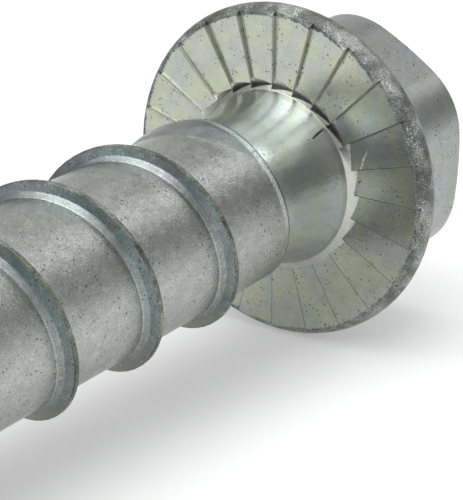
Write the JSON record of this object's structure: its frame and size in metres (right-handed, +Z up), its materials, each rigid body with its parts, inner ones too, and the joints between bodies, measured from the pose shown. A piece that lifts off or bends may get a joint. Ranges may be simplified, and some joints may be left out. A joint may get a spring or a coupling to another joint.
{
  "type": "concrete screw anchor",
  "caption": "Hex flange head concrete screw anchor with ratchet teeth under the flange, a plain neck and a coarse thread that cuts its own way into a drilled hole.",
  "frame": {"origin": "centre of the bearing face under the flange, on the screw's axis", "axes": "+X from the head to the tip, dipping 3.4 degrees from the screw's axis; +Z up, away from the surface that the screw lies on"},
  "size_m": [0.1136, 0.0258, 0.0257],
  "materials": {
    "zinc_plated_steel": "bright zinc plating over forged and rolled steel, mottled and speckled, olive to pale blue tint"
  },
  "bodies": {
    "root": {"screw_anchor": "zinc_plated_steel"}
  },
  "joints": []
}
